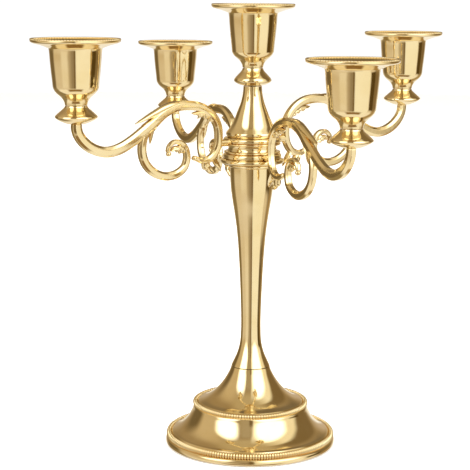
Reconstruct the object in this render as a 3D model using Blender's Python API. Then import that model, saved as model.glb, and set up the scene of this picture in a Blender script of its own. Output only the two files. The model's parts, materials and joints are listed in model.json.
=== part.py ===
"""Tabletop candelabra: a two-tier foot, a waisted column, four scrolled arms and five candle cups.

The arms come in two straight pairs. Each pair hangs on its own ring, and both rings turn on a
core that a long threaded rod clamps between the column and the finial. The upper pair lies along
the X axis. Lengths are written in millimetres and are turned into metres where meshes are made.
Profiles are lists of (radius, height) that run round a cross-section.
"""

import math

import bmesh
import bpy
from mathutils import Matrix

MM = 0.001
GAP = 0.3  # clearance left between two pieces that touch
OVERCUT = 1.0  # how far a cutter runs past what it cuts
MERGE = 1e-4  # corners closer than this become one
SMOOTH_ANGLE = math.radians(40)  # a blunter edge than this is shaded as a smooth surface

# Driving dimensions
CENTRE_RIM_Z = 268.0  # height of the middle cup's rim
UPPER_RING_Z = 188.1  # mid-height of the ring that carries the upper pair of arms
ARM_DROP = 8.2  # the lower pair hangs this much below the upper one
ARM_REACH = 122.8  # from the column's axis to a side cup's axis
SIDE_RIM_RISE = 61.6  # from a ring's mid-height to the rims of its cups
PAIR_ANGLE = 77.4  # degrees from the upper pair round to the lower pair

# Fasteners
ROD_RADIUS = 2.0
BORE_RADIUS = 2.4
NUT_RADIUS = 4.1  # across the corners
CUP_NUT_HEIGHT = 2.3
BASE_NUT_HEIGHT = 3.4
WASHER_RADIUS = 7.5
WASHER_THICKNESS = 1.2
ROD_FOOT_Z = 12.0
SCREW_RADIUS = 0.9
SCREW_HOLE_RADIUS = 1.2
SCREW_HEAD_RADIUS = 1.5
SCREW_HEAD_HEIGHT = 1.5
SCREW_POCKET_RADIUS = 1.8

# Ring, core and spacer of the hub
RING_RADIUS = 17.2
RING_BORE = 9.0
RING_HALF_HEIGHT = 2.2
RING_CHAMFER = (0.6, 0.7)  # across the ring, and along its height
CORE_RADIUS = 8.7
SPACER_RADIUS = 14.8
POCKET_DEPTH_RADIUS = 11.6  # how far out the screw pockets reach
LUG_START = RING_RADIUS + GAP
LUG_HOLE_END = 21.4
LUG_END = 25.0
LUG_RADIUS = 2.15

# Heights along the column
NECK_Z = 48.7  # top of the foot's neck
COLUMN_FOOT_Z = NECK_Z + GAP
COLUMN_TOP_Z = 174.3
FLANGE_Z = (COLUMN_TOP_Z + GAP, 177.4)
SPIGOT_RADIUS = 12.0  # the part of the flange that drops into the column
SPIGOT_FOOT_Z = 170.5

# How many flat sides a round piece has
SEGMENTS_LARGE = 24
SEGMENTS_ROUND = 16
SEGMENTS_SMALL = 8

# Profiles of the turned pieces. A cup's and a collar's heights are measured from the cup's rim.
CUP_SEAT = -25.0  # the floor that the candle stands on
CUP_RECESS = -28.2  # where the nut sits
NUT_RECESS_RADIUS = 4.9
CUP_FOOT = {"centre": -35.9, "side": -34.7}  # the middle cup has the longer neck
CUP_OUTSIDE = [
    (23.5, 1.3), (24.6, 0.9), (24.9, 0.0), (24.2, -0.8), (19.0, -2.7), (15.4, -4.1), (14.6, -5.6),
    (14.0, -13.5), (13.1, -23.5),
]
CUP_NECK = [(12.5, 9.2), (11.1, 6.9), (8.7, 4.6), (7.0, 2.4), (6.2, 0.0)]  # heights above the cup's foot
CUP_INSIDE = [
    (BORE_RADIUS, CUP_RECESS), (NUT_RECESS_RADIUS, CUP_RECESS), (NUT_RECESS_RADIUS, CUP_SEAT),
    (11.3, CUP_SEAT), (12.2, -23.0), (13.5, -6.0), (14.6, -3.4), (23.0, 0.3),
]
COLLAR = {  # heights from the collar's top
    "centre": [(6.1, 0.0), (7.2, -2.2), (9.8, -4.8), (11.1, -6.6), (11.1, -7.8), (9.6, -9.1), (5.4, -10.5)],
    "side": [(6.1, 0.0), (7.6, -1.7), (9.4, -3.4), (11.7, -5.7), (11.8, -6.5), (10.2, -7.9), (5.4, -9.9)],
}
FINIAL_TOP_Z = CENTRE_RIM_Z + CUP_FOOT["centre"] - GAP + COLLAR["centre"][-1][1] - GAP
FINIAL_FOOT_Z = UPPER_RING_Z + RING_HALF_HEIGHT + GAP
FINIAL = [
    (5.7, FINIAL_TOP_Z), (5.9, 217.0), (6.9, 212.0), (8.9, 206.4), (10.9, 201.2), (13.2, 196.6),
    (15.4, 193.6), (15.8, 192.4), (15.0, FINIAL_FOOT_Z), (11.5, FINIAL_FOOT_Z), (7.5, 197.5),
    (BORE_RADIUS, 205.0), (BORE_RADIUS, FINIAL_TOP_Z),
]
COLUMN = [
    (14.0, COLUMN_TOP_Z), (14.4, 173.4), (13.6, 172.2), (13.3, 165.0), (12.1, 153.5), (10.3, 143.0),
    (8.7, 130.0), (7.5, 114.0), (6.7, 97.0), (6.15, 76.0), (6.7, 63.5), (8.4, 57.4),
    (11.9, COLUMN_FOOT_Z), (10.9, COLUMN_FOOT_Z), (7.4, 57.4), (5.5, 63.5), (5.0, 76.0), (6.5, 114.0),
    (9.2, 143.0), (12.6, 169.0), (12.7, COLUMN_TOP_Z),
]
FLANGE = [
    (18.6, FLANGE_Z[1]), (19.2, 176.4), (18.8, 175.2), (17.6, FLANGE_Z[0]), (SPIGOT_RADIUS, FLANGE_Z[0]),
    (SPIGOT_RADIUS, SPIGOT_FOOT_Z), (BORE_RADIUS, SPIGOT_FOOT_Z), (BORE_RADIUS, FLANGE_Z[1]),
]
FOOT = [
    (11.8, NECK_Z), (12.9, 45.6), (15.6, 40.6), (18.9, 36.0), (23.4, 31.4), (28.6, 28.4), (33.0, 27.1),
    (34.6, 27.2), (35.5, 26.2), (35.3, 23.2), (36.9, 18.8), (39.4, 14.6), (43.2, 10.9), (47.2, 8.5),
    (49.2, 8.0), (51.2, 7.9), (51.8, 6.4), (52.3, 3.6), (51.2, 0.4), (50.0, 0.4), (50.4, 5.9),
    (46.6, 7.2), (42.2, 9.6), (38.2, 13.6), (35.5, 18.6), (34.1, 23.2), (34.0, 25.4), (28.2, 27.0),
    (22.4, 30.2), (17.8, 34.8), (14.2, 40.0), (11.6, 45.4), (10.6, NECK_Z),
]
PLATE_Z = (23.3, 24.9)
PLATE_RADIUS = 33.0
PAD_RADIUS = 49.4
PAD_THICKNESS = 2.0
NECK_BUSH = [(10.1, 46.0), (BORE_RADIUS, 46.0), (BORE_RADIUS, 54.0), (8.1, 54.0), (10.1, 49.2)]

# Half-sizes of the sections that are swept, in the arm's plane and across it
ARM_SECTION = (2.9, 2.6)
SCROLL_SECTION = (2.45, 2.4)
LEAF_SECTION = (1.7, 2.2)
SECTION_CUT = 0.4  # the share of a half-size that a section's cut corners leave flat

# Routes in an arm's own plane: distance from the column's axis, height above the ring, and scale
MAIN_SCROLL = [
    (ARM_REACH, 16.1, 1.0), (ARM_REACH, 14.0, 1.0), (121.6, 10.3, 1.0), (118.2, 6.0, 1.02),
    (112.2, 1.9, 1.04), (104.0, -0.3, 1.05), (96.0, 0.6, 1.05), (88.0, 4.0, 1.05), (80.0, 8.8, 1.05),
    (72.5, 13.9, 1.0), (65.5, 19.2, 0.97), (57.5, 22.7, 0.95), (48.5, 23.5, 0.95), (39.5, 22.2, 0.92),
    (31.8, 18.0, 0.88), (26.6, 11.5, 0.85), (25.4, 4.0, 0.83), (26.8, -3.2, 0.78), (30.9, -8.2, 0.7),
    (36.8, -9.7, 0.62), (43.0, -7.6, 0.5),
]
SIDE_SCROLL = [
    (75.5, 12.0, 0.8), (78.8, 5.5, 0.95), (79.7, -1.5, 1.0), (77.6, -8.2, 1.0), (72.2, -13.8, 1.0),
    (64.0, -16.9, 1.0), (56.0, -16.2, 0.98), (50.2, -12.4, 0.92), (48.4, -7.0, 0.85), (49.7, -1.2, 0.75),
    (54.0, 2.5, 0.65), (58.8, 2.3, 0.55), (61.6, -0.9, 0.48), (62.0, -4.4, 0.42),
]
LEAVES = {
    "top": [(61.5, 24.4, 0.9), (68.5, 20.6, 0.85), (76.0, 17.2, 0.6), (83.6, 14.8, 0.2)],
    "inner": [(70.6, 14.0, 0.8), (73.0, 9.5, 0.6), (74.0, 3.2, 0.2)],
    "low": [(80.6, 8.0, 0.9), (83.0, 4.4, 0.6), (86.0, 1.4, 0.2)],
    "bud": [(33.0, 17.4, 0.9), (38.8, 18.4, 0.7), (44.4, 18.4, 0.2)],
    "foot": [(34.6, -9.6, 0.8), (32.8, -13.2, 0.75), (29.4, -16.0, 0.3)],
}
SCROLL_STEPS = 2  # straight lengths between two points of a route
LEAF_STEPS = 1
STUD_START = 13.0  # how far above the ring's middle the cup's stud begins, inside the arm


def material(name, colour, roughness, metallic):
    """A Principled material with one colour."""
    made = bpy.data.materials.new(name)
    made.use_nodes = True
    shader = made.node_tree.nodes["Principled BSDF"]
    shader.inputs["Base Color"].default_value = (*colour, 1)
    shader.inputs["Roughness"].default_value = roughness
    shader.inputs["Metallic"].default_value = metallic
    return made


def place(name, mesh, finish, parent=None, location=(0, 0, 0), turn=0):
    """Adds one named piece. location is in millimetres and turn is in degrees about the Z axis."""
    piece = bpy.data.objects.new(name, mesh)
    bpy.context.scene.collection.objects.link(piece)
    if not mesh.materials:
        mesh.materials.append(finish)
    piece.parent = parent
    piece.location = [c * MM for c in location]
    piece.rotation_euler[2] = math.radians(turn)
    return piece


def pivot(name, height, turn):
    """An empty on the column's axis, which the pieces of one pair of arms are parented to."""
    empty = bpy.data.objects.new(name, None)
    bpy.context.scene.collection.objects.link(empty)
    empty.location = (0, 0, height * MM)
    empty.rotation_euler[2] = math.radians(turn)
    return empty


def finished(mesh_name, shape):
    """Turns a bmesh in millimetres into a smooth-shaded mesh in metres."""
    bmesh.ops.remove_doubles(shape, verts=shape.verts, dist=MERGE)
    bmesh.ops.recalc_face_normals(shape, faces=shape.faces)
    bmesh.ops.scale(shape, vec=(MM, MM, MM), verts=shape.verts)
    mesh = bpy.data.meshes.new(mesh_name)
    shape.to_mesh(mesh)
    shape.free()
    mesh.shade_smooth()
    mesh.set_sharp_from_angle(angle=SMOOTH_ANGLE)
    return mesh


def turned(name, profile, segments=SEGMENTS_ROUND, axis="Z"):
    """A piece turned on a lathe: the closed profile of (radius, height) spun about the axis."""
    shape = bmesh.new()
    points = [(r, 0, h) if axis == "Z" else (h, 0, r) for r, h in profile]
    corners = [shape.verts.new(p) for p in points]
    for first, second in zip(corners, corners[1:] + corners[:1]):
        shape.edges.new((first, second))
    spin_axis = (0, 0, 1) if axis == "Z" else (1, 0, 0)
    bmesh.ops.spin(
        shape, geom=shape.verts[:] + shape.edges[:], cent=(0, 0, 0), axis=spin_axis,
        angle=math.tau, steps=segments, use_merge=True,
    )
    return finished(name, shape)


def tube_profile(inner, outer, low, high):
    """The rectangular profile of a plain ring."""
    return [(outer, high), (outer, low), (inner, low), (inner, high)]


def rod(name, radius, low, high, segments=SEGMENTS_SMALL, axis="Z"):
    """A plain solid cylinder."""
    return turned(name, [(0, low), (radius, low), (radius, high), (0, high)], segments, axis)


def smooth_route(points, steps):
    """Points on a Catmull-Rom curve through the given ones, each with all its values interpolated."""
    ends = [points[0], *points, points[-1]]
    route = []
    for a, b, c, d in zip(ends, ends[1:], ends[2:], ends[3:]):
        for step in range(steps):
            t = step / steps
            route.append(tuple(
                q + 0.5 * ((r - p) * t + (2 * p - 5 * q + 4 * r - s) * t**2 + (3 * q - p - 3 * r + s) * t**3)
                for p, q, r, s in zip(a, b, c, d)
            ))
    return [*route, tuple(points[-1])]


def section_curve(name, half_width, half_depth):
    """A closed eight-sided section with cut corners, used as the bevel of a route."""
    cut = SECTION_CUT
    corners = [
        (half_width * x, half_depth * y)
        for x, y in ((1, cut), (cut, 1), (-cut, 1), (-1, cut), (-1, -cut), (-cut, -1), (cut, -1), (1, -cut))
    ]
    data = bpy.data.curves.new(name, "CURVE")
    spline = data.splines.new("POLY")
    spline.points.add(len(corners) - 1)
    for point, (x, y) in zip(spline.points, corners):
        point.co = (x * MM, y * MM, 0, 1)
    spline.use_cyclic_u = True
    section = bpy.data.objects.new(name, data)
    bpy.context.scene.collection.objects.link(section)
    section.hide_render = True
    section.display_type = "WIRE"
    return section


def swept(name, route, section, steps):
    """A solid bar along a route in the XZ plane, as a mesh. Each point of the route scales the section."""
    points = smooth_route(route, steps)
    data = bpy.data.curves.new(name, "CURVE")
    data.dimensions = "3D"
    data.twist_mode = "Z_UP"
    data.bevel_mode = "OBJECT"
    data.bevel_object = section
    data.use_fill_caps = True
    spline = data.splines.new("POLY")
    spline.points.add(len(points) - 1)
    for point, (x, y, scale) in zip(spline.points, points):
        point.co = (x * MM, y * MM, 0, 1)
        point.radius = scale
    bar = bpy.data.objects.new(name, data)
    bpy.context.scene.collection.objects.link(bar)
    graph = bpy.context.evaluated_depsgraph_get()
    mesh = bpy.data.meshes.new_from_object(bar.evaluated_get(graph))
    bpy.data.objects.remove(bar)
    shape = bmesh.new()
    shape.from_mesh(mesh)
    upright = Matrix.Rotation(math.radians(90), 3, "X")
    bmesh.ops.rotate(shape, verts=shape.verts, cent=(0, 0, 0), matrix=upright)
    bmesh.ops.scale(shape, vec=(1 / MM, 1 / MM, 1 / MM), verts=shape.verts)
    return finished(name, shape)


def helper(name, mesh):
    """A shape that only takes part in Booleans."""
    made = bpy.data.objects.new(name, mesh)
    bpy.context.scene.collection.objects.link(made)
    made.hide_render = True
    made.display_type = "WIRE"
    return made


def combined(name, start, steps):
    """The mesh that is left after a list of (operation, mesh) Booleans on the starting mesh."""
    target = helper(name, start)
    tools = []
    for number, (operation, mesh) in enumerate(steps):
        tools.append(helper(f"{name}_tool_{number}", mesh))
        boolean = target.modifiers.new(f"{operation}_{number}", "BOOLEAN")
        boolean.operation = operation
        boolean.object = tools[-1]
    graph = bpy.context.evaluated_depsgraph_get()
    mesh = bpy.data.meshes.new_from_object(target.evaluated_get(graph))
    for used in [target, *tools]:
        bpy.data.objects.remove(used)
    mesh.shade_smooth()
    mesh.set_sharp_from_angle(angle=SMOOTH_ANGLE)
    mesh.materials.clear()
    return mesh


def arm_mesh():
    """One cast arm: two scrolls, leaf tips, the lug that meets the ring and the stud that holds a cup."""
    main_section = section_curve("arm_section", *ARM_SECTION)
    side_section = section_curve("scroll_section", *SCROLL_SECTION)
    leaf_section = section_curve("leaf_section", *LEAF_SECTION)
    stud_top = SIDE_RIM_RISE + CUP_SEAT - GAP
    stud = rod("stud", ROD_RADIUS, STUD_START, stud_top)
    for corner in stud.vertices:
        corner.co.x += ARM_REACH * MM
    steps = [("UNION", swept("side_scroll", SIDE_SCROLL, side_section, SCROLL_STEPS))]
    for key, route in LEAVES.items():
        steps.append(("UNION", swept(f"leaf_{key}", route, leaf_section, LEAF_STEPS)))
    steps += [
        ("UNION", stud),
        ("UNION", rod("lug", LUG_RADIUS, LUG_START, LUG_END, axis="X")),
        ("DIFFERENCE", rod("lug_hole", SCREW_HOLE_RADIUS, LUG_START - OVERCUT, LUG_HOLE_END, axis="X")),
    ]
    made = combined("arm", swept("main_scroll", MAIN_SCROLL, main_section, SCROLL_STEPS), steps)
    for section in (main_section, side_section, leaf_section):
        bpy.data.objects.remove(section)
    return made


def ring_mesh():
    """A ring with a counterbored screw hole at each end of one diameter."""
    across, along = RING_CHAMFER
    body = turned("ring", [
        (RING_RADIUS - across, RING_HALF_HEIGHT), (RING_RADIUS, RING_HALF_HEIGHT - along),
        (RING_RADIUS, along - RING_HALF_HEIGHT), (RING_RADIUS - across, -RING_HALF_HEIGHT),
        (RING_BORE, -RING_HALF_HEIGHT), (RING_BORE, RING_HALF_HEIGHT),
    ])
    past = RING_RADIUS + OVERCUT
    holes = turned("ring_holes", [
        (0, -past), (SCREW_HOLE_RADIUS, -past), (SCREW_HOLE_RADIUS, -POCKET_DEPTH_RADIUS),
        (SCREW_POCKET_RADIUS, -POCKET_DEPTH_RADIUS), (SCREW_POCKET_RADIUS, POCKET_DEPTH_RADIUS),
        (SCREW_HOLE_RADIUS, POCKET_DEPTH_RADIUS), (SCREW_HOLE_RADIUS, past), (0, past),
    ], SEGMENTS_SMALL, axis="X")
    return combined("arm_ring", body, [("DIFFERENCE", holes)])


def nut_mesh(name, height):
    """A plain hexagon nut with its seat at height 0."""
    return turned(name, tube_profile(BORE_RADIUS, NUT_RADIUS, 0, height), 6)


def cup_mesh(kind):
    """A flared cup with a socket for the candle, a recess for the nut below it and a waisted neck."""
    foot_z = CUP_FOOT[kind]
    neck = [(r, foot_z + rise) for r, rise in CUP_NECK]
    return turned(f"candle_cup_{kind}", [*CUP_OUTSIDE, *neck, (BORE_RADIUS, foot_z), *CUP_INSIDE])


def collar_mesh(kind):
    """The knob below a cup, at its height from the cup's rim."""
    top_z = CUP_FOOT[kind] - GAP
    outside = [(r, top_z + rise) for r, rise in COLLAR[kind]]
    return turned(f"cup_collar_{kind}", [*outside, (BORE_RADIUS, outside[-1][1]), (BORE_RADIUS, top_z)])


def screw_mesh():
    """A cheese-head screw along X, with its head at the ring's pocket."""
    head_end = POCKET_DEPTH_RADIUS - GAP
    head_start = head_end - SCREW_HEAD_HEIGHT
    tip = LUG_HOLE_END - GAP
    return turned("arm_screw", [
        (0, head_start), (SCREW_HEAD_RADIUS, head_start), (SCREW_HEAD_RADIUS, head_end),
        (SCREW_RADIUS, head_end), (SCREW_RADIUS, tip), (0, tip),
    ], SEGMENTS_SMALL, axis="X")


def candle_holder(suffix, kind, meshes, finishes, parent, x, rim_z):
    """A cup on its collar, held down by a nut in the cup's floor."""
    place(f"candle_cup_{suffix}", meshes[f"{kind}_cup"], finishes["gold"], parent, (x, 0, rim_z))
    place(f"cup_collar_{suffix}", meshes[f"{kind}_collar"], finishes["gold"], parent, (x, 0, rim_z))
    nut_z = rim_z + CUP_RECESS + GAP
    place(f"cup_nut_{suffix}", meshes["cup_nut"], finishes["steel"], parent, (x, 0, nut_z))


def arm_pair(level, ring_z, turn, meshes, finishes):
    """A ring with its two arms, their screws and their candle holders, on one pivot."""
    axis = pivot(f"{level}_arms_pivot", ring_z, turn)
    place(f"{level}_arm_ring", meshes["ring"], finishes["gold"], axis)
    for number, side in ((1, 1), (2, -1)):
        half_turn = 0 if side == 1 else 180
        place(f"arm_{level}_{number}", meshes["arm"], finishes["gold"], axis, turn=half_turn)
        place(f"arm_screw_{level}_{number}", meshes["screw"], finishes["steel"], axis, turn=half_turn)
        candle_holder(f"{level}_{number}", "side", meshes, finishes, axis, side * ARM_REACH, SIDE_RIM_RISE)


def foot(finishes):
    """The hollow foot, the plate and nut that pull it against the column, and its felt pad."""
    place("base_shell", turned("base_shell", FOOT, SEGMENTS_LARGE), finishes["gold"])
    plate = turned("base_plate", tube_profile(BORE_RADIUS, PLATE_RADIUS, *PLATE_Z), SEGMENTS_LARGE)
    place("base_plate", plate, finishes["steel"])
    washer_top = PLATE_Z[0] - GAP
    washer_foot = washer_top - WASHER_THICKNESS
    washer = turned("base_washer", tube_profile(BORE_RADIUS, WASHER_RADIUS, washer_foot, washer_top))
    place("base_washer", washer, finishes["steel"])
    nut = nut_mesh("base_nut", BASE_NUT_HEIGHT)
    place("base_nut", nut, finishes["steel"], location=(0, 0, washer_foot - GAP - BASE_NUT_HEIGHT))
    place("base_pad", rod("base_pad", PAD_RADIUS, 0, PAD_THICKNESS, SEGMENTS_LARGE), finishes["felt"])


def spindle(finishes):
    """The column and the stack that turns or clamps on the tie rod."""
    place("neck_bush", turned("neck_bush", NECK_BUSH), finishes["steel"])
    place("column", turned("column", COLUMN), finishes["gold"])
    place("column_flange", turned("column_flange", FLANGE, SEGMENTS_LARGE), finishes["gold"])
    lower_ring_z = UPPER_RING_Z - ARM_DROP
    core_z = (FLANGE_Z[1] + GAP, UPPER_RING_Z + RING_HALF_HEIGHT - GAP)
    core = turned("hub_core", tube_profile(BORE_RADIUS, CORE_RADIUS, *core_z))
    place("hub_core", core, finishes["steel"])
    spacer_z = (lower_ring_z + RING_HALF_HEIGHT + GAP, UPPER_RING_Z - RING_HALF_HEIGHT - GAP)
    spacer = turned("hub_spacer", tube_profile(RING_BORE, SPACER_RADIUS, *spacer_z))
    place("hub_spacer", spacer, finishes["gold"])
    place("finial_cone", turned("finial_cone", FINIAL), finishes["gold"])
    rod_top = CENTRE_RIM_Z + CUP_SEAT - GAP
    place("tie_rod", rod("tie_rod", ROD_RADIUS, ROD_FOOT_Z, rod_top), finishes["steel"])


def main():
    """Clears the scene and builds the whole candelabra."""
    for old in list(bpy.data.objects):
        bpy.data.objects.remove(old)
    finishes = {
        "gold": material("polished_gold", (0.83, 0.61, 0.27), 0.14, 1),
        "steel": material("zinc_plated_steel", (0.62, 0.62, 0.6), 0.35, 1),
        "felt": material("felt", (0.05, 0.05, 0.05), 0.95, 0),
    }
    meshes = {
        "centre_cup": cup_mesh("centre"),
        "centre_collar": collar_mesh("centre"),
        "side_cup": cup_mesh("side"),
        "side_collar": collar_mesh("side"),
        "cup_nut": nut_mesh("cup_nut", CUP_NUT_HEIGHT),
        "ring": ring_mesh(),
        "arm": arm_mesh(),
        "screw": screw_mesh(),
    }
    foot(finishes)
    spindle(finishes)
    candle_holder("centre", "centre", meshes, finishes, None, 0, CENTRE_RIM_Z)
    arm_pair("upper", UPPER_RING_Z, 0, meshes, finishes)
    arm_pair("lower", UPPER_RING_Z - ARM_DROP, PAIR_ANGLE, meshes, finishes)


main()
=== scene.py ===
"""Looks of a tabletop candelabra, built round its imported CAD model.

Lengths are written in millimetres and turned into metres where meshes are made. A turned piece is
drawn as runs of (radius, height): a run is smooth, and two runs meet at a small rounded corner. The
lowest height of a profile sits at the lowest corner of its CAD node. An arm is drawn in its own
plane as (distance from the column's axis, height above its ring's middle).
"""

import json
import math

import bmesh
import bpy
from mathutils import Matrix, Vector


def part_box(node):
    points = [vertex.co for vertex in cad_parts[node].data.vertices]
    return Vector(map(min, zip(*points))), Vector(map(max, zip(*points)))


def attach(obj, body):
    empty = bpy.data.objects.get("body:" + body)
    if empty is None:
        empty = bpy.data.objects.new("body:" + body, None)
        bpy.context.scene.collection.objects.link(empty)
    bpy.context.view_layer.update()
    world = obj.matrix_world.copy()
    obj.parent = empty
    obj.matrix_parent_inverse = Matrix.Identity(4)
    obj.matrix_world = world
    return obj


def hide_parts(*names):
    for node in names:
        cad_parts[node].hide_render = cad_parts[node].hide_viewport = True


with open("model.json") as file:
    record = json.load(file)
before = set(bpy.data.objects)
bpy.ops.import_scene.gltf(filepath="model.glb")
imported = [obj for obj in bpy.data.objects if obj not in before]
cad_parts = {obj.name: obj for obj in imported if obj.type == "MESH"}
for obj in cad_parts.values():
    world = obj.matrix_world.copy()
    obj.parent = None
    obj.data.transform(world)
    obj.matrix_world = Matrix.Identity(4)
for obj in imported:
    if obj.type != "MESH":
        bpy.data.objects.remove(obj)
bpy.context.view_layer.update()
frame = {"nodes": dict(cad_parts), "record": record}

MM = 0.001
SHARP_ANGLE = math.radians(48)  # an edge that turns more than this is shaded as an edge
CORNER = 0.25  # how far from a turned piece's corner its rounding begins
CORNER_SHARE = 0.4  # the most of the line on either side that a rounding takes up
HOLD_SHARE = 0.3  # how far past the rounding, as a share of that line, a point keeps it straight
LEAST_STEP = 1e-3  # two points of a smooth line count as at least this far apart
TINY = 1e-9  # a length too small to matter

# How many steps round their axis the foot, the cups and the other turned pieces are made in
FOOT_SEGMENTS = 160
CUP_SEGMENTS = 112
TURNED_SEGMENTS = 96

# Radii of the holes for the tie rod and the studs, and for the hub's core
ROD_HOLE = 2.4
CORE_HOLE = 9.0

# ---------------------------------------------------------------- profiles of the turned pieces

FOOT = [
    [(10.6, 48.7), (11.8, 48.7)],
    [(12.9, 45.6), (15.6, 40.6), (18.9, 36.0), (23.4, 31.4), (28.0, 28.4), (31.9, 26.9)],
    [(33.0, 25.8)],
    [(34.6, 24.2)],
    [(35.1, 23.6), (35.6, 21.8), (36.9, 18.8), (39.4, 14.6), (42.8, 11.0), (46.2, 8.8),
     (48.1, 8.0)],
    [(49.0, 7.0)],
    [(50.4, 4.6)],
    [(51.4, 4.3)],
    [(52.1, 3.6), (52.35, 2.3), (52.1, 1.1), (51.2, 0.4)],
    [(50.0, 0.4)],
    [(49.4, 4.0), (47.6, 6.3), (45.0, 7.6), (41.8, 9.9), (38.2, 13.6), (35.5, 18.6), (34.1, 22.4),
     (32.2, 24.6)],
    [(28.2, 26.6), (22.4, 30.0), (17.8, 34.7), (14.2, 40.0), (11.6, 45.4), (10.6, 48.7)],
]
COLUMN = [
    [(12.7, 174.3), (13.6, 174.3)],
    [(14.3, 173.9), (14.4, 173.2), (13.9, 172.5), (13.4, 172.2)],
    [(13.4, 169.0), (12.9, 160.0), (12.1, 153.5), (10.3, 142.6), (8.7, 130.0), (7.5, 114.0),
     (6.7, 97.0), (6.2, 82.0), (6.15, 72.0), (6.7, 63.5), (8.3, 57.0), (10.1, 52.8), (11.9, 49.0)],
    [(10.9, 49.0)],
    [(7.4, 57.4), (5.5, 63.5), (5.0, 76.0), (6.5, 114.0), (9.2, 143.0), (12.6, 169.0),
     (12.7, 174.3)],
]
FLANGE = [
    [(ROD_HOLE, 177.6), (18.0, 177.6)],
    [(19.0, 177.1), (19.35, 176.2), (19.0, 175.2), (17.6, 174.6)],
    [(12.0, 174.6)],
    [(12.0, 170.5)],
    [(ROD_HOLE, 170.5)],
    [(ROD_HOLE, 177.6)],
]
# Each ring has a thin bead on the side of the spacer
RINGS = {
    "upper": [
        [(CORE_HOLE, 2.4), (15.9, 2.4)],
        [(16.8, 2.1), (17.4, 1.3), (17.5, 0.6), (17.3, -0.2), (16.5, -0.75)],
        [(16.3, -0.9)],
        [(16.9, -1.1), (17.05, -1.55), (16.8, -2.0), (16.3, -2.2)],
        [(CORE_HOLE, -2.2)],
        [(CORE_HOLE, 2.4)],
    ],
    "lower": [
        [(CORE_HOLE, 2.4), (16.3, 2.4)],
        [(16.8, 2.2), (17.05, 1.75), (16.9, 1.3), (16.3, 1.1)],
        [(16.5, 0.95)],
        [(17.3, 0.4), (17.6, -0.5), (17.6, -1.5)],
        [(17.4, -2.2)],
        [(CORE_HOLE, -2.2)],
        [(CORE_HOLE, 2.4)],
    ],
}
SPACER = [
    [(CORE_HOLE, 1.8), (15.0, 1.8)],
    [(14.6, 0.9), (14.5, 0.1), (14.6, -0.7), (15.0, -1.6)],
    [(CORE_HOLE, -1.6)],
    [(CORE_HOLE, 1.8)],
]
FINIAL = [
    [(ROD_HOLE, 221.0), (5.6, 221.0)],
    [(5.7, 218.6), (6.1, 215.4), (7.1, 211.2), (8.9, 206.4), (10.9, 201.2), (13.0, 197.0),
     (15.0, 194.3), (15.7, 193.4)],
    [(15.9, 192.3), (15.2, 190.6)],
    [(11.5, 190.6)],
    [(7.5, 197.5), (ROD_HOLE, 205.0)],
    [(ROD_HOLE, 221.0)],
]
# Heights of the knops from their tops, and of the cups from their rims and from their feet
KNOPS = {
    "centre": [
        [(ROD_HOLE, 0.0), (6.1, 0.0)],
        [(6.4, -0.9), (7.1, -2.0), (8.3, -3.3), (9.7, -4.8), (10.8, -6.1), (11.25, -7.0)],
        [(11.3, -7.5)],
        [(10.9, -8.2), (9.8, -9.0), (7.9, -9.9), (5.4, -10.5)],
        [(ROD_HOLE, -10.5)],
        [(ROD_HOLE, 0.0)],
    ],
    "side": [
        [(ROD_HOLE, 0.0), (6.1, 0.0)],
        [(6.5, -0.9), (7.5, -1.9), (8.9, -3.1), (10.5, -4.5), (11.7, -5.7)],
        [(11.85, -6.3)],
        [(11.3, -7.0), (10.0, -7.9), (8.0, -8.9), (5.4, -9.9)],
        [(ROD_HOLE, -9.9)],
        [(ROD_HOLE, 0.0)],
    ],
}
CUP_FEET = {"centre": -35.9, "side": -34.7}
CUP_FLARE = [
    (22.5, 0.3), (23.7, 0.95), (24.4, 1.2), (24.85, 0.8), (24.8, 0.1), (24.2, -0.45), (22.3, -1.1),
    (19.8, -1.75), (17.9, -2.4), (16.1, -3.05), (14.8, -3.6),
]
CUP_BODY = [(14.5, -5.0), (14.1, -10.5), (13.55, -16.5), (13.0, -21.5), (12.7, -24.6)]
CUP_SHOULDER = [(12.5, 9.2)]
CUP_NECK = [(11.9, 8.0), (10.9, 6.7), (9.6, 5.5), (8.2, 4.3), (7.2, 3.0), (6.5, 1.6), (6.15, 0.0)]
CUP_INSIDE = [
    [(ROD_HOLE, -28.2)],
    [(4.9, -28.2)],
    [(4.9, -25.0)],
    [(11.2, -25.0)],
    [(11.7, -24.2), (12.2, -21.0), (12.9, -15.0), (13.4, -9.0), (13.7, -4.6), (15.1, -2.5),
     (17.6, -1.5), (20.0, -0.85), (22.5, 0.3)],
]

# Rings of beads: the radius and height of the line through the beads, their half-sizes along those
# two, the share of the half-sizes lost between two beads, and how many beads there are
CUP_BEADS = {"radius": 24.25, "height": 1.25, "size": (0.75, 0.65), "sink": 0.85, "count": 90}
FOOT_UPPER_BEADS = {"radius": 34.0, "height": 25.6, "size": (1.6, 1.6), "sink": 0.65, "count": 132}
FOOT_LOWER_BEADS = {"radius": 50.3, "height": 6.15, "size": (1.65, 2.0), "sink": 0.65, "count": 194}

# ---------------------------------------------------------------- routes of the cast arms

ARM_REACH = 122.8  # distance of an outer cup's middle from the column's axis

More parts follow.
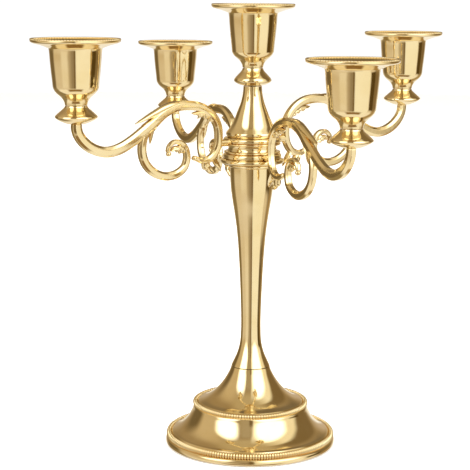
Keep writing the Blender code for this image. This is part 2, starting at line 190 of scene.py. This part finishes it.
# Rows of (distance, height, half-width in the arm's plane, half-depth across it)
MAIN_SCROLL = [
    (ARM_REACH, 15.8, 2.9, 2.35), (ARM_REACH, 14.0, 2.9, 2.35), (121.6, 10.3, 2.9, 2.35),
    (118.2, 6.0, 3.0, 2.35), (112.2, 1.9, 3.0, 2.35), (104.0, -0.3, 3.0, 2.35),
    (96.0, 0.6, 3.05, 2.35), (88.0, 4.0, 3.05, 2.35), (80.0, 8.8, 3.1, 2.39),
    (72.5, 13.9, 3.1, 2.44), (65.5, 19.2, 2.9, 2.44), (57.5, 22.7, 2.8, 2.44),
    (48.5, 23.5, 2.75, 2.44), (39.5, 22.2, 2.65, 2.44), (31.8, 18.0, 2.55, 2.44),
    (26.6, 11.5, 2.45, 2.35), (25.4, 4.0, 2.4, 2.26), (26.8, -3.2, 2.3, 2.17),
    (30.9, -8.2, 2.1, 2.09), (36.8, -9.7, 1.8, 1.91), (43.0, -7.6, 1.3, 1.65),
]
SIDE_SCROLL = [
    (75.5, 12.0, 2.0, 2.09), (78.8, 5.5, 2.3, 2.17), (79.7, -1.5, 2.45, 2.17),
    (77.6, -8.2, 2.45, 2.17), (72.2, -13.8, 2.45, 2.17), (64.0, -16.9, 2.45, 2.17),
    (56.0, -16.2, 2.35, 2.17), (50.2, -12.4, 2.2, 2.09), (48.4, -7.0, 2.1, 2.0),
    (49.7, -1.2, 1.85, 1.91), (53.6, 2.2, 1.5, 1.83), (58.0, 2.4, 1.3, 1.74),
    (61.0, 0.0, 1.2, 1.65), (61.8, -2.4, 1.1, 1.48),
]

# The lug goes into the ring, and the stud carries the knop and the cup
LUG = [(17.8, 0.0, 2.15, 2.15), (21.0, 0.0, 2.15, 2.15), (25.0, 0.0, 2.15, 2.15)]
STUD = [(ARM_REACH, 13.0, 2.0, 2.0), (ARM_REACH, 24.0, 2.0, 2.0), (ARM_REACH, 36.4, 1.9, 1.9)]

# The corners of a bar's upper half, for half-sizes of 1. The lower half is the same, upside down.
BAR_CORNERS = [(1, 0.55), (0.47, 1), (-0.47, 1), (-1, 0.55)]
BAR_ROUNDING = 0.09  # how far from a corner its rounding begins
BAR_HOLD = 1.6  # this many times as far from the corner, a point keeps the face flat
CAP_ANGLES = [math.radians(a) for a in (75, 50, 25)]  # the rings of a bar's rounded end
ROUND_SIDES = 24  # of the lug and the stud

# Leaves: the spine, the widest half-widths to the right and left of it, how many lobes those two
# sides have, and the half-depth across the arm. The top leaf has a free tip over the swoop, and no
# vein.
TOP_LEAF = (
    [(52.0, 24.2), (58.0, 24.2), (64.0, 22.6), (70.5, 19.9), (77.0, 17.3), (84.2, 14.4)],
    (2.1, 2.2), (0, 0), 2.52,
)
LEAVES = [
    # beside the top leaf
    ([(66.0, 20.0), (71.0, 17.2), (75.5, 14.8), (79.8, 13.2)], (1.5, 1.3), (0, 0), 2.52),
    # inside the side scroll
    ([(68.5, 16.2), (71.6, 12.4), (73.4, 8.0), (74.2, 2.6)], (1.9, 1.5), (2, 0), 2.17),
    # under the swoop
    ([(79.0, 10.4), (81.0, 6.8), (83.4, 4.0), (87.2, 1.6)], (1.6, 2.0), (0, 2), 2.17),
    # inside the arch
    ([(29.0, 13.6), (32.6, 16.8), (38.0, 18.2), (45.0, 18.8)], (3.2, 2.4), (4, 0), 2.26),
    # below the curl
    ([(36.5, -9.6), (34.4, -12.6), (31.6, -15.6), (28.6, -17.4)], (2.8, 3.2), (2, 2), 2.17),
    ([(29.5, -8.2), (27.4, -11.4), (25.2, -14.2), (23.6, -17.0)], (1.6, 1.6), (0, 0), 1.91),
    # bud at the side scroll's end
    ([(50.6, -3.2), (53.2, -1.6), (56.4, -1.0), (60.0, -2.6)], (3.0, 2.6), (3, 2), 2.0),
]
VEIN_DEPTH = 0.3  # share of a leaf's half-depth
VEIN_WIDTH = 0.22  # share of a leaf's half-width
SPINE_STEPS = 12  # between two points of a leaf's spine
LEAF_ROOT = 0.16  # how far into its swell a leaf begins
LEAF_LEAN = 0.8  # under 1 puts the widest place nearer the root
LEAF_FULLNESS = 0.75  # under 1 makes the swell fuller
LEAF_TIP = 0.07  # the least share of its size that a leaf keeps
LEAF_THINNING = 0.6  # under 1 keeps a leaf deeper for its width
LOBE_DEPTH = 0.4  # share of the half-width lost between two lobes
LOBE_LEAN = 1.7  # over 1 puts a lobe's peak nearer the leaf's tip
LEAST_HALF_WIDTH = 0.12  # of a leaf, in millimetres
LEAST_HALF_DEPTH = 0.15

# Balls at the two scrolls' ends: the middle, and the half-size along each axis
BALLS = [((61.2, 0, -4.1), (1.6, 1.75, 1.5)), ((42.9, 0, -7.8), (1.7, 1.85, 1.5))]


# ---------------------------------------------------------------- mesh code


def between(a, b, t0, t1, t):
    """The value at t on the straight line through a at t0 and b at t1, for tuples."""
    share = (t - t0) / (t1 - t0)
    return tuple(p + (q - p) * share for p, q in zip(a, b))


def smooth_line(points, steps):
    """Points on a centripetal Catmull-Rom curve through the given tuples."""
    if len(points) < 3:
        return [tuple(p) for p in points]
    first = tuple(2 * a - b for a, b in zip(points[0], points[1]))
    last = tuple(2 * a - b for a, b in zip(points[-1], points[-2]))
    ends = [first, *points, last]
    line = []
    for p in zip(ends, ends[1:], ends[2:], ends[3:]):
        t = [0.0]
        for a, b in zip(p, p[1:]):
            t.append(t[-1] + max(math.dist(a[:2], b[:2]), LEAST_STEP) ** 0.5)
        for step in range(steps):
            at = t[1] + (t[2] - t[1]) * step / steps
            a1 = between(p[0], p[1], t[0], t[1], at)
            a2 = between(p[1], p[2], t[1], t[2], at)
            a3 = between(p[2], p[3], t[2], t[3], at)
            b1 = between(a1, a2, t[0], t[2], at)
            b2 = between(a2, a3, t[1], t[3], at)
            line.append(between(b1, b2, t[1], t[2], at))
    return [*line, tuple(points[-1])]


def hold(room, length):
    """How far from a rounded corner a point goes that keeps the line beside it straight."""
    return min(2 * room, room + length * HOLD_SHARE)


def outline(runs, steps=5):
    """The closed outline of a profile, with its corners rounded."""
    lines, start = [], None
    for run in runs:
        points = run if start is None else [start, *run]
        lines.append([Vector(p) for p in smooth_line(points, steps)])
        start = run[-1]
    made = []
    for line, after in zip(lines, lines[1:] + lines[:1]):
        corner = line[-1]
        back, ahead = line[-2] - corner, after[1] - corner
        lengths = (back.length, ahead.length)
        room = min(CORNER, *(length * CORNER_SHARE for length in lengths))
        back, ahead = back.normalized(), ahead.normalized()
        made += line[1:-1]
        made.append(corner + back * hold(room, lengths[0]))
        for share in (0.0, 0.25, 0.5, 0.75, 1.0):
            made.append(
                (corner + back * room) * (1 - share) ** 2
                + corner * 2 * share * (1 - share)
                + (corner + ahead * room) * share**2
            )
        made.append(corner + ahead * hold(room, lengths[1]))
    return made


def closed_grid(shape, rings, wrap):
    """Faces between neighbouring rings of corners. wrap also joins the last ring to the first."""
    pairs = list(zip(rings, rings[1:]))
    if wrap:
        pairs.append((rings[-1], rings[0]))
    for low, high in pairs:
        count = len(low)
        for i in range(count):
            j = (i + 1) % count
            shape.faces.new((low[i], low[j], high[j], high[i]))


def add_turned(shape, runs, segments):
    """Spins a profile about the Z axis."""
    line = outline(runs)
    rings = []
    for step in range(segments):
        angle = math.tau * step / segments
        across, along = math.cos(angle), math.sin(angle)
        rings.append([shape.verts.new((p.x * across, p.x * along, p.y)) for p in line])
    closed_grid(shape, rings, wrap=True)


def add_beads(shape, radius, height, size, sink, count):
    """A ring of small touching beads, each as long as the ring's pitch."""
    around, across = 8, 12
    rings = []
    for step in range(count * around):
        angle = math.tau * step / (count * around)
        along = 2 * (step % around) / around - 1
        swell = 1 - sink * (1 - math.sqrt(1 - along**2))
        ring = []
        for corner in range(across):
            turn = math.tau * corner / across
            r = radius + size[0] * swell * math.cos(turn)
            z = height + size[1] * swell * math.sin(turn)
            ring.append(shape.verts.new((r * math.cos(angle), r * math.sin(angle), z)))
        rings.append(ring)
    closed_grid(shape, rings, wrap=True)


def bar_section():
    """A bar of half-size 1 with wide bevels and rounded edges."""
    upper = [Vector(p) for p in BAR_CORNERS]
    corners = upper + [-c for c in upper]
    neighbours = zip(corners[-1:] + corners[:-1], corners, corners[1:] + corners[:1])
    section = []
    for before, corner, after in neighbours:
        back = (before - corner).normalized() * BAR_ROUNDING
        ahead = (after - corner).normalized() * BAR_ROUNDING
        section.append(corner + back * BAR_HOLD)
        for share in (0.0, 0.33, 0.67, 1.0):
            section.append(corner + back * (1 - share) ** 2 + ahead * share**2)
        section.append(corner + ahead * BAR_HOLD)
    return [tuple(p) for p in section]


def leaf_section(vein, points=9):
    """A lens of half-size 1, whose faces dip by the share vein along the middle."""
    upper = []
    for i in range(points):
        across = math.cos(math.pi * i / (points - 1))
        dip = 1 - vein * math.exp(-((across / VEIN_WIDTH) ** 2))
        upper.append((across, math.sqrt(max(1 - across * across, 0)) * dip))
    return upper + [(across, -height) for across, height in upper[-2:0:-1]]


def add_bar(shape, route, section, steps=6):
    """A closed bar with rounded ends along a route in the XZ plane.

    A row of the route is (x, z, half-width, half-depth), and a fifth value is the half-width to the
    left of the route, with the first one then only to the right.
    """
    line = smooth_line(route, steps)
    at = [Vector((p[0], 0, p[1])) for p in line]
    sizes = [(p[2], p[4] if len(p) > 4 else p[2], p[3]) for p in line]
    rings = []

    def add_ring(centre, tangent, right, left, deep):
        leftward = Vector((-tangent.z, 0, tangent.x))
        corners = []
        for u, v in section:
            wide = left if u > 0 else right
            spot = centre + leftward * (u * wide) + Vector((0, v * deep, 0))
            corners.append(shape.verts.new(spot))
        rings.append(corners)

    def add_end(centre, outward, tangent, size, angles):
        reach = min(size)
        for a in angles:
            spot = centre + outward * reach * math.sin(a)
            add_ring(spot, tangent, *(value * math.cos(a) for value in size))

    ahead = (at[1] - at[0]).normalized()
    add_end(at[0], -ahead, ahead, sizes[0], CAP_ANGLES)
    for i, size in enumerate(sizes):
        tangent = (at[min(i + 1, len(at) - 1)] - at[max(i - 1, 0)]).normalized()
        add_ring(at[i], tangent, *size)
    ahead = (at[-1] - at[-2]).normalized()
    add_end(at[-1], ahead, ahead, sizes[-1], reversed(CAP_ANGLES))
    closed_grid(shape, rings, wrap=False)
    shape.faces.new(rings[0][::-1])
    shape.faces.new(rings[-1])


def lobe(place_in_lobes):
    """The share of a leaf's half-width at a place counted in lobes from its root."""
    wave = math.sin(math.pi * (place_in_lobes % 1.0) ** LOBE_LEAN)
    return 1 - LOBE_DEPTH + LOBE_DEPTH * wave


def lobed(spine, widths, lobes, deep, samples=40):
    """The route of a leaf, whose sides swell and fall back in pointed lobes."""
    line = smooth_line(spine, SPINE_STEPS)
    length = [0.0]
    for a, b in zip(line, line[1:]):
        length.append(length[-1] + math.dist(a, b))
    route = []
    for i in range(samples + 1):
        s = i / samples
        want = s * length[-1]
        k = max(j for j in range(len(line) - 1) if length[j] <= want + TINY)
        share = min((want - length[k]) / max(length[k + 1] - length[k], TINY), 1)
        x, z = (a + (b - a) * share for a, b in zip(line[k], line[k + 1]))
        taper = LEAF_TIP
        if s < 1:
            turn = math.pi * (LEAF_ROOT + (1 - LEAF_ROOT) * s) ** LEAF_LEAN
            taper = max(math.sin(turn) ** LEAF_FULLNESS, LEAF_TIP)
        right, left = (
            max(width * taper * (lobe(s * count) if count else 1), LEAST_HALF_WIDTH)
            for width, count in zip(widths, lobes)
        )
        route.append((x, z, right, max(deep * taper**LEAF_THINNING, LEAST_HALF_DEPTH), left))
    return route


def add_ball(shape, centre, size):
    """A ball with a half-size of its own along each axis."""
    around, upward = 20, 12
    rings = []
    for step in range(1, upward):
        rise = math.pi * step / upward
        ring = []
        for corner in range(around):
            turn = math.tau * corner / around
            x, y = math.sin(rise) * math.cos(turn), math.sin(rise) * math.sin(turn)
            spot = [c + s * u for c, s, u in zip(centre, size, (x, y, -math.cos(rise)))]
            ring.append(shape.verts.new(spot))
        rings.append(ring)
    closed_grid(shape, rings, wrap=False)
    for ring, height in ((rings[0], -size[2]), (rings[-1], size[2])):
        tip = shape.verts.new((centre[0], centre[1], centre[2] + height))
        for a, b in zip(ring, ring[1:] + ring[:1]):
            shape.faces.new((a, b, tip))


def finished(name, shape):
    """A smooth-shaded mesh in metres."""
    bmesh.ops.recalc_face_normals(shape, faces=shape.faces)
    bmesh.ops.scale(shape, vec=(MM, MM, MM), verts=shape.verts)
    mesh = bpy.data.meshes.new(name)
    shape.to_mesh(mesh)
    shape.free()
    mesh.shade_smooth()
    mesh.set_sharp_from_angle(angle=SHARP_ANGLE)
    return mesh


def turned_mesh(name, runs, segments=TURNED_SEGMENTS, beads=()):
    """A turned piece with its rings of beads."""
    shape = bmesh.new()
    add_turned(shape, runs, segments)
    for ring in beads:
        add_beads(shape, **ring)
    return finished(name, shape)


def cup_runs(kind):
    """The profile of a cup, which is longer on the middle one."""
    foot = CUP_FEET[kind]
    shoulder, neck = ([(r, foot + rise) for r, rise in part] for part in (CUP_SHOULDER, CUP_NECK))
    return [CUP_FLARE, CUP_BODY + shoulder, neck, [(ROD_HOLE, foot)], *CUP_INSIDE]


def lowest(runs):
    """A profile's lowest height."""
    return min(p[1] for run in runs for p in run)


def arm_mesh():
    """One arm with its scrolls, leaves, balls, lug and stud."""
    shape = bmesh.new()
    cast = bar_section()
    add_bar(shape, MAIN_SCROLL, cast)
    add_bar(shape, SIDE_SCROLL, cast)
    add_bar(shape, lobed(*TOP_LEAF), leaf_section(vein=0.0), steps=1)
    veined = leaf_section(vein=VEIN_DEPTH)
    for leaf in LEAVES:
        add_bar(shape, lobed(*leaf), veined, steps=1)
    for centre, size in BALLS:
        add_ball(shape, centre, size)
    turns = [math.tau * i / ROUND_SIDES for i in range(ROUND_SIDES)]
    round_section = [(math.cos(turn), math.sin(turn)) for turn in turns]
    add_bar(shape, LUG, round_section)
    add_bar(shape, STUD, round_section)
    return finished("arm", shape)


# ---------------------------------------------------------------- materials

PALE_GOLD = (0.95, 0.81, 0.52, 1)
WARM_GOLD = (0.90, 0.735, 0.42, 1)
# painted shade: the dark brown that the gold turns to in crevices and between beads
CREVICE_SHADE_GOLD = (0.52, 0.26, 0.07, 1)
DARK_ZINC = (0.42, 0.42, 0.40, 1)
PALE_ZINC = (0.72, 0.72, 0.69, 1)
FELT_SHADOW = (0.012, 0.012, 0.012, 1)
FELT_TIPS = (0.075, 0.072, 0.07, 1)


def named_input(node, key):
    """The node's enabled input of that name: a Mix node has one for every data type."""
    return next(socket for socket in node.inputs if socket.name == key and socket.enabled)


def result(node):
    """The node's enabled output."""
    return next(socket for socket in node.outputs if socket.enabled)


def add(tree, kind, inputs=None, **settings):
    """A shader node with its settings, and its inputs set to values or linked to sockets."""
    made = tree.nodes.new(kind)
    for key, value in settings.items():
        setattr(made, key, value)
    for key, value in (inputs or {}).items():
        socket = named_input(made, key)
        if isinstance(value, bpy.types.NodeSocket):
            tree.links.new(value, socket)
        else:
            socket.default_value = value
    return made


def new_material(name, values):
    """A material, its node tree and its shader, with some of the shader's inputs set."""
    made = bpy.data.materials.new(name)
    made.use_nodes = True
    shader = made.node_tree.nodes["Principled BSDF"]
    for key, value in values.items():
        shader.inputs[key].default_value = value
    return made, made.node_tree, shader


def noise(tree, where, **values):
    """A noise texture's value, with its inputs given by name."""
    inputs = {"Vector": where}
    inputs.update({key.capitalize(): value for key, value in values.items()})
    return add(tree, "ShaderNodeTexNoise", inputs).outputs["Fac"]


def two_tone(tree, value, first, second, start=0.0, end=1.0):
    """The colour first up to start, blending to second at end."""
    ramp = add(tree, "ShaderNodeValToRGB", {"Fac": value})
    for element, position, colour in zip(ramp.color_ramp.elements, (start, end), (first, second)):
        element.position = position
        element.color = colour
    return ramp.outputs["Color"]


def spread(tree, value, **limits):
    """A value moved from one range to another, whose ends are 0 and 1 unless they are given."""
    inputs = {"Value": value}
    inputs.update({key.replace("_", " ").title(): limit for key, limit in limits.items()})
    return add(tree, "ShaderNodeMapRange", inputs).outputs["Result"]


def gold(name, wave_scale, wave_depth, shade_reach):
    """Polished gold plating: warm and pale patches, painted shade darkening the crevices, faint
    smears and waves.
    """
    made, tree, shader = new_material(name, {"Metallic": 1.0})
    where = add(tree, "ShaderNodeTexCoord").outputs["Object"]
    patches = noise(tree, where, scale=55.0, detail=3.0)
    tint = two_tone(tree, patches, WARM_GOLD, PALE_GOLD, start=0.35, end=0.7)
    # Painted shade: where ambient occlusion finds a crevice or a gap between beads, the colour is
    # darkened towards a deep brown
    shade = add(tree, "ShaderNodeAmbientOcclusion", {"Distance": shade_reach}, samples=8)
    crevice_shade = spread(tree, shade.outputs["AO"], from_min=0.2, from_max=0.7, to_min=0.5, to_max=0.0)
    colour = add(
        tree, "ShaderNodeMix", {"Factor": crevice_shade, "A": tint, "B": CREVICE_SHADE_GOLD}, data_type="RGBA"
    )
    tree.links.new(result(colour), shader.inputs["Base Color"])
    smears = noise(tree, where, scale=240.0, detail=4.0, roughness=0.6)
    rough = spread(tree, smears, from_min=0.3, from_max=0.75, to_min=0.05, to_max=0.13)
    tree.links.new(rough, shader.inputs["Roughness"])
    waves = noise(tree, where, scale=wave_scale, detail=1.0)
    bump = add(tree, "ShaderNodeBump", {"Height": waves, "Strength": 1.0, "Distance": wave_depth})
    tree.links.new(bump.outputs["Normal"], shader.inputs["Normal"])
    return made


def plated_steel():
    """Zinc plating with a faint spangle."""
    made, tree, shader = new_material("plated_steel", {"Metallic": 1.0})
    where = add(tree, "ShaderNodeTexCoord").outputs["Object"]
    grain = noise(tree, where, scale=900.0, detail=4.0)
    tree.links.new(two_tone(tree, grain, DARK_ZINC, PALE_ZINC), shader.inputs["Base Color"])
    tree.links.new(spread(tree, grain, to_min=0.25, to_max=0.5), shader.inputs["Roughness"])
    return made


def felt():
    """Short black pile."""
    made, tree, shader = new_material("felt", {"Roughness": 0.95, "Sheen Weight": 0.4})
    where = add(tree, "ShaderNodeTexCoord").outputs["Object"]
    pile = noise(tree, where, scale=1500.0, detail=5.0, roughness=0.7)
    tree.links.new(two_tone(tree, pile, FELT_SHADOW, FELT_TIPS), shader.inputs["Base Color"])
    bump = add(tree, "ShaderNodeBump", {"Height": pile, "Strength": 0.6, "Distance": 0.0004})
    tree.links.new(bump.outputs["Normal"], shader.inputs["Normal"])
    return made


# The cast arms have finer waves than the turned pieces, and their painted crevice shade reaches
# further
FINISHES = {
    "turned": gold("gold_turned", wave_scale=60.0, wave_depth=0.00006, shade_reach=0.0014),
    "cast": gold("gold_cast", wave_scale=200.0, wave_depth=0.00003, shade_reach=0.003),
    "plated_steel": plated_steel(),
    "felt": felt(),
}

# ---------------------------------------------------------------- pieces


def place(name, node, mesh, body, finish, location, turn):
    """A piece that stands for a CAD node, at a place in metres and turned about Z in radians."""
    mesh = mesh.copy()
    mesh.transform(Matrix.Translation(location) @ Matrix.Rotation(turn, 4, "Z"))
    mesh.materials.append(FINISHES[finish])
    piece = bpy.data.objects.new(name, mesh)
    bpy.context.scene.collection.objects.link(piece)
    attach(piece, body)
    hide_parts(node)


def stand_on(name, node, mesh, runs, body="stand", turn=0.0):
    """Places a turned piece so that its profile's lowest height meets its node's lowest corner."""
    low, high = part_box(node)
    spot = ((low.x + high.x) / 2, (low.y + high.y) / 2, low.z - lowest(runs) * MM)
    place(name, node, mesh, body, "turned", spot, turn)


foot = turned_mesh("foot_shell", FOOT, FOOT_SEGMENTS, (FOOT_UPPER_BEADS, FOOT_LOWER_BEADS))
stand_on("foot_shell", "base_shell", foot, FOOT)
for name, node, runs in (
    ("waisted_column", "column", COLUMN),
    ("column_collar", "column_flange", FLANGE),
    ("hub_groove", "hub_spacer", SPACER),
    ("finial_bell", "finial_cone", FINIAL),
):
    stand_on(name, node, turned_mesh(name, runs), runs)

cups = {}
knops = {}
for kind in ("centre", "side"):
    cups[kind] = turned_mesh(f"{kind}_cup", cup_runs(kind), CUP_SEGMENTS, (CUP_BEADS,))
    knops[kind] = turned_mesh(f"{kind}_knop", KNOPS[kind])
arm = arm_mesh()

stand_on("cup_centre", "candle_cup_centre", cups["centre"], cup_runs("centre"))
stand_on("knop_centre", "cup_collar_centre", knops["centre"], KNOPS["centre"])
for level in ("upper", "lower"):
    body = f"{level}_arms"
    ring_low, ring_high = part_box(f"{level}_arm_ring")
    middle = (ring_low + ring_high) / 2
    ring = turned_mesh(f"{level}_ring", RINGS[level])
    stand_on(f"hub_ring_{level}", f"{level}_arm_ring", ring, RINGS[level], body)
    for number in (1, 2):
        suffix = f"{level}_{number}"
        cup_low, cup_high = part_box(f"candle_cup_{suffix}")
        out = (cup_low + cup_high) / 2
        turn = math.atan2(out.y, out.x)
        for name, node, mesh, runs in (
            (f"cup_{suffix}", f"candle_cup_{suffix}", cups["side"], cup_runs("side")),
            (f"knop_{suffix}", f"cup_collar_{suffix}", knops["side"], KNOPS["side"]),
        ):
            stand_on(name, node, mesh, runs, body, turn)
        spot = (0, 0, middle.z)
        place(f"scroll_arm_{suffix}", f"arm_{suffix}", arm, body, "cast", spot, turn)

SLOT_OF = {row["node"]: row["material_slot"] for row in frame["record"]["subparts"]}
for node, kept in frame["nodes"].items():
    if not kept.hide_render:
        kept.data.materials.clear()
        kept.data.materials.append(FINISHES[SLOT_OF[node]])

# ---------------------------------------------------------------- stage, light and camera

# The camera stands where the photograph was taken from: its place in metres, and in degrees its way
# round from looking along +Y, its way up from looking straight down, and its roll
CAMERA_PLACE = (-0.5401, -0.6974, 0.2811)
CAMERA_AZIMUTH = -37.1
CAMERA_PITCH = 80.30
CAMERA_ROLL = 0.34
CAMERA_LENS = 112.37  # millimetres, as is the sensor's width
CAMERA_SENSOR = 36

scene = bpy.context.scene
camera = bpy.data.objects.new("camera", bpy.data.cameras.new("camera"))
scene.collection.objects.link(camera)
camera.data.lens = CAMERA_LENS
camera.data.sensor_width = CAMERA_SENSOR
camera.matrix_world = (
    Matrix.Translation(CAMERA_PLACE)
    @ Matrix.Rotation(math.radians(CAMERA_AZIMUTH), 4, "Z")
    @ Matrix.Rotation(math.radians(CAMERA_PITCH), 4, "X")
    @ Matrix.Rotation(math.radians(CAMERA_ROLL), 4, "Z")
)
scene.camera = camera
scene.view_settings.view_transform = "Standard"

# The studio as patches of light, the later ones in front: a patch's form, the degrees it spans to
# the right of the camera's direction and above the horizon, how many degrees its edges take to
# fade in those two, and its colour
STUDIO = [
    # wall on the left, and the one behind, darker above
    ("oval", (-128, -56), (-30, 66), (40, 44), (0.62, 0.49, 0.31)),
    ("panel", (-200, -160), (-10, 14), (24, 16), (0.54, 0.44, 0.33)),
    ("panel", (150, 200), (-10, 14), (24, 16), (0.58, 0.46, 0.34)),
    ("panel", (-200, -160), (22, 70), (24, 16), (0.20, 0.15, 0.09)),
    ("panel", (150, 200), (22, 70), (24, 16), (0.20, 0.15, 0.09)),
    # table
    ("panel", (-200, 200), (-95, -8), (10, 10), (0.74, 0.64, 0.50)),
    ("panel", (-200, 200), (-95, -30), (10, 24), (1.0, 0.94, 0.84)),
    # ceiling
    ("panel", (-220, 220), (64, 95), (10, 16), (0.52, 0.41, 0.24)),
    # dark corner on the left, and the floor below it
    ("oval", (-146, -108), (-34, 24), (18, 18), (0.18, 0.13, 0.065)),
    ("panel", (-158, -106), (-66, -14), (16, 18), (0.30, 0.23, 0.12)),
    # cream wall round the right soft box, the brown wall beyond it, the floor below that, and a
    # dark stand
    ("panel", (4, 110), (-4, 70), (8, 28), (0.99, 0.90, 0.70)),
    ("oval", (98, 142), (-26, 66), (16, 24), (0.22, 0.15, 0.07)),
    ("panel", (116, 158), (-66, -14), (16, 18), (0.44, 0.30, 0.13)),
    ("panel", (82, 108), (-17, 3), (6, 6), (0.10, 0.06, 0.015)),
    # backdrop
    ("panel", (150, 200), (-60, -3), (20, 8), (1.0, 0.97, 0.90)),
    ("panel", (-200, -166), (-60, -3), (14, 8), (0.93, 0.87, 0.76)),
    # what the soft boxes light below
    ("panel", (4, 78), (-60, 0), (6, 8), (1.02, 0.98, 0.86)),
    ("panel", (-62, -30), (-20, 4), (14, 10), (0.86, 0.78, 0.64)),
    # the table's near edge
    ("panel", (-44, 50), (-60, -31), (20, 6), (0.30, 0.19, 0.085)),
    # the two soft boxes
    ("oval", (12, 73), (3, 68), (16, 18), (2.4, 2.4, 2.3)),
    ("oval", (-71, -27), (3, 60), (15, 18), (2.4, 2.4, 2.3)),
    # camera and photographer between them
    ("panel", (-21, 2), (0, 58), (13, 14), (0.44, 0.35, 0.22)),
    ("panel", (-27, 3), (-26, 4), (14, 8), (0.48, 0.39, 0.27)),
    ("panel", (-15, 4), (-26, 4), (14, 8), (0.33, 0.26, 0.17)),
    ("panel", (-2, 5), (-26, 30), (4, 10), (0.19, 0.13, 0.06)),
]
WALLS = (0.36, 0.26, 0.14)  # wherever there is no patch
BACKDROP_STRENGTH = 1.05
OVAL_POWER = 2.4  # 2 makes an ellipse, and more is squarer
DEGREES = 180 / math.pi


def maths(tree, operation, first, second=0.0):
    """One step of arithmetic on sockets or numbers."""
    made = tree.nodes.new("ShaderNodeMath")
    made.operation = operation
    for socket, value in zip(made.inputs, (first, second)):
        if isinstance(value, bpy.types.NodeSocket):
            tree.links.new(value, socket)
        else:
            socket.default_value = value
    return made.outputs[0]


def step_between(tree, value, start, end):
    """0 at start and 1 at end, with a smooth step between."""
    inputs = {"Value": value, "From Min": start, "From Max": end}
    step = add(tree, "ShaderNodeMapRange", inputs, interpolation_type="SMOOTHSTEP")
    return step.outputs["Result"]


def panel(tree, across, above, sideways, upwards, soft):
    """A soft-edged rectangle of directions."""
    sides = []
    for value, (low, high), edge in ((across, sideways, soft[0]), (above, upwards, soft[1])):
        sides.append(step_between(tree, value, low - edge / 2, low + edge / 2))
        sides.append(step_between(tree, value, high + edge / 2, high - edge / 2))
    inside = maths(tree, "MULTIPLY", sides[0], sides[1])
    return maths(tree, "MULTIPLY", inside, maths(tree, "MULTIPLY", sides[2], sides[3]))


def oval(tree, across, above, sideways, upwards, soft):
    """A soft-edged oval of directions."""
    powers, edge = [], 0
    for value, (low, high), width in ((across, sideways, soft[0]), (above, upwards, soft[1])):
        off = maths(tree, "SUBTRACT", value, (low + high) / 2)
        share = maths(tree, "ABSOLUTE", maths(tree, "DIVIDE", off, (high - low) / 2))
        powers.append(maths(tree, "POWER", share, OVAL_POWER))
        edge += width / (high - low) / 2
    distance = maths(tree, "POWER", maths(tree, "ADD", *powers), 1 / OVAL_POWER)
    return step_between(tree, distance, 1 + edge, 1 - edge)


def studio_light(tree):
    """The colour of the studio's light by direction, in degrees from the camera's direction."""
    direction = add(tree, "ShaderNodeTexCoord").outputs["Generated"]
    turned_round = add(
        tree,
        "ShaderNodeVectorRotate",
        {"Vector": direction, "Angle": math.radians(-CAMERA_AZIMUTH)},
        rotation_type="Z_AXIS",
    )
    parts = add(tree, "ShaderNodeSeparateXYZ", {"Vector": turned_round.outputs["Vector"]}).outputs
    behind = maths(tree, "MULTIPLY", parts["Y"], -1.0)
    across = maths(tree, "MULTIPLY", maths(tree, "ARCTAN2", parts["X"], behind), DEGREES)
    above = maths(tree, "MULTIPLY", maths(tree, "ARCSINE", parts["Z"]), DEGREES)
    light = (*WALLS, 1)
    for form, sideways, upwards, soft, colour in STUDIO:
        mask = (panel if form == "panel" else oval)(tree, across, above, sideways, upwards, soft)
        inputs = {"Factor": mask, "A": light, "B": (*colour, 1)}
        light = result(add(tree, "ShaderNodeMix", inputs, data_type="RGBA"))
    return light


# The camera sees a white backdrop, and everything else sees the studio
world = bpy.data.worlds.new("studio")
scene.world = world
world.use_nodes = True
sky = world.node_tree
sky.nodes.clear()
backdrop = {"Color": (1, 1, 1, 1), "Strength": BACKDROP_STRENGTH}
seen = add(sky, "ShaderNodeBackground", backdrop)
lit = add(sky, "ShaderNodeBackground", {"Color": studio_light(sky), "Strength": 1.0})
choose = add(sky, "ShaderNodeMixShader")
sky.links.new(add(sky, "ShaderNodeLightPath").outputs["Is Camera Ray"], choose.inputs[0])
sky.links.new(lit.outputs[0], choose.inputs[1])
sky.links.new(seen.outputs[0], choose.inputs[2])
output = add(sky, "ShaderNodeOutputWorld")
sky.links.new(choose.outputs[0], output.inputs["Surface"])

floor_shape = bmesh.new()
bmesh.ops.create_circle(floor_shape, cap_ends=True, segments=96, radius=3000)
floor = bpy.data.objects.new("floor", finished("floor", floor_shape))
scene.collection.objects.link(floor)
floor_looks = {
    "Base Color": (0.95, 0.95, 0.95, 1),
    "Roughness": 0.8,
    "Emission Color": (1, 1, 1, 1),
    "Emission Strength": 0.3,
}
floor.data.materials.append(new_material("floor_paint", floor_looks)[0])
overhead = bpy.data.objects.new("overhead", bpy.data.lights.new("overhead", "AREA"))
scene.collection.objects.link(overhead)
overhead.data.size = 1.6
overhead.data.energy = 34
overhead.location = (0, 0, 1.5)
# The gold mirrors only the studio
floor.visible_glossy = False
overhead.visible_glossy = False
